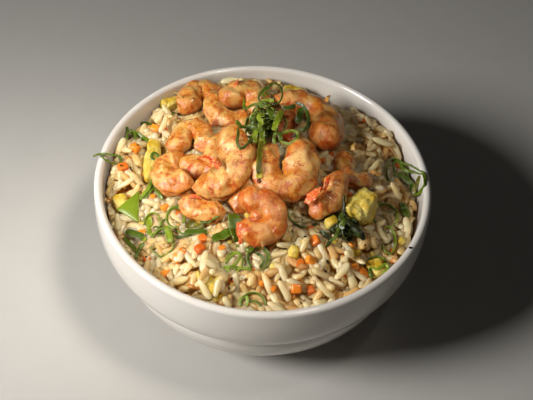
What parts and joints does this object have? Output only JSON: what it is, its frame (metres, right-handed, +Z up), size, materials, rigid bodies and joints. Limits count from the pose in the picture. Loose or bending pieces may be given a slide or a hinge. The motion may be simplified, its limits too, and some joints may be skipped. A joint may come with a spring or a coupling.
{
  "type": "bowl of fried rice with shrimps",
  "caption": "White glazed bowl filled with a dome of fried rice with egg, diced carrot and spring onion, topped with a pile of curled pink shrimps and a heap of green onion shreds",
  "frame": {"origin": "middle of the bowl's foot, on the surface that it stands on", "axes": "+Z up, +X to the right and +Y to the back of the serving as it is looked at from the front"},
  "size_m": [0.166, 0.166, 0.0981],
  "materials": {
    "porcelain": "white glaze, glossy, slightly warm",
    "rice": "cooked grains, cream, moist and slightly see-through, with a thin film of oil",
    "shrimp": "cooked shrimp flesh, orange and cream with red streaks, wet gloss",
    "onion": "spring onion green, moist and satin, paler at the cut edges",
    "pod": "light green pod, satin",
    "herb": "dark soft leaf, moist",
    "egg": "scrambled egg, yellow, moist",
    "carrot": "diced carrot, orange, moist"
  },
  "bodies": {
    "root": {"bowl": "porcelain", "egg_back": "egg", "egg_back_left": "egg", "egg_front_left": "egg", "egg_left_long": "egg", "egg_left_low": "egg", "egg_right": "egg", "egg_right_low": "egg", "egg_right_small": "egg", "herb_cluster": "herb", "onion_curl_back_left": "onion", "onion_curl_front_right": "onion", "onion_curl_rim": "onion", "onion_fold_back": "onion", "onion_fold_left": "onion", "onion_fold_right": "onion", "onion_leaf_front": "onion", "onion_leaf_low": "onion", "onion_leaf_right": "onion", "onion_loop_back_right": "onion", "onion_loop_right": "onion", "onion_pile": "onion", "onion_ring_egg": "onion", "onion_ring_far_left": "onion", "onion_ring_front": "onion", "onion_ring_front_mid": "onion", "onion_ring_left": "onion", "onion_ring_mid_left": "onion", "onion_ring_right": "onion", "onion_ring_rim": "onion", "onion_strip_level": "onion", "onion_strip_side": "onion", "onion_strip_upright": "onion", "pod_piece": "pod", "rice": "rice", "shrimp_back_left": "shrimp", "shrimp_back_mid": "shrimp", "shrimp_back_right": "shrimp", "shrimp_centre": "shrimp", "shrimp_far_right": "shrimp", "shrimp_front": "shrimp", "shrimp_left": "shrimp", "shrimp_left_low": "shrimp", "shrimp_right": "shrimp", "shrimp_right_front": "shrimp", "shrimp_under_back": "shrimp", "shrimp_under_centre": "shrimp", "shrimp_under_left": "shrimp", "shrimp_under_middle": "shrimp"}
  },
  "joints": []
}
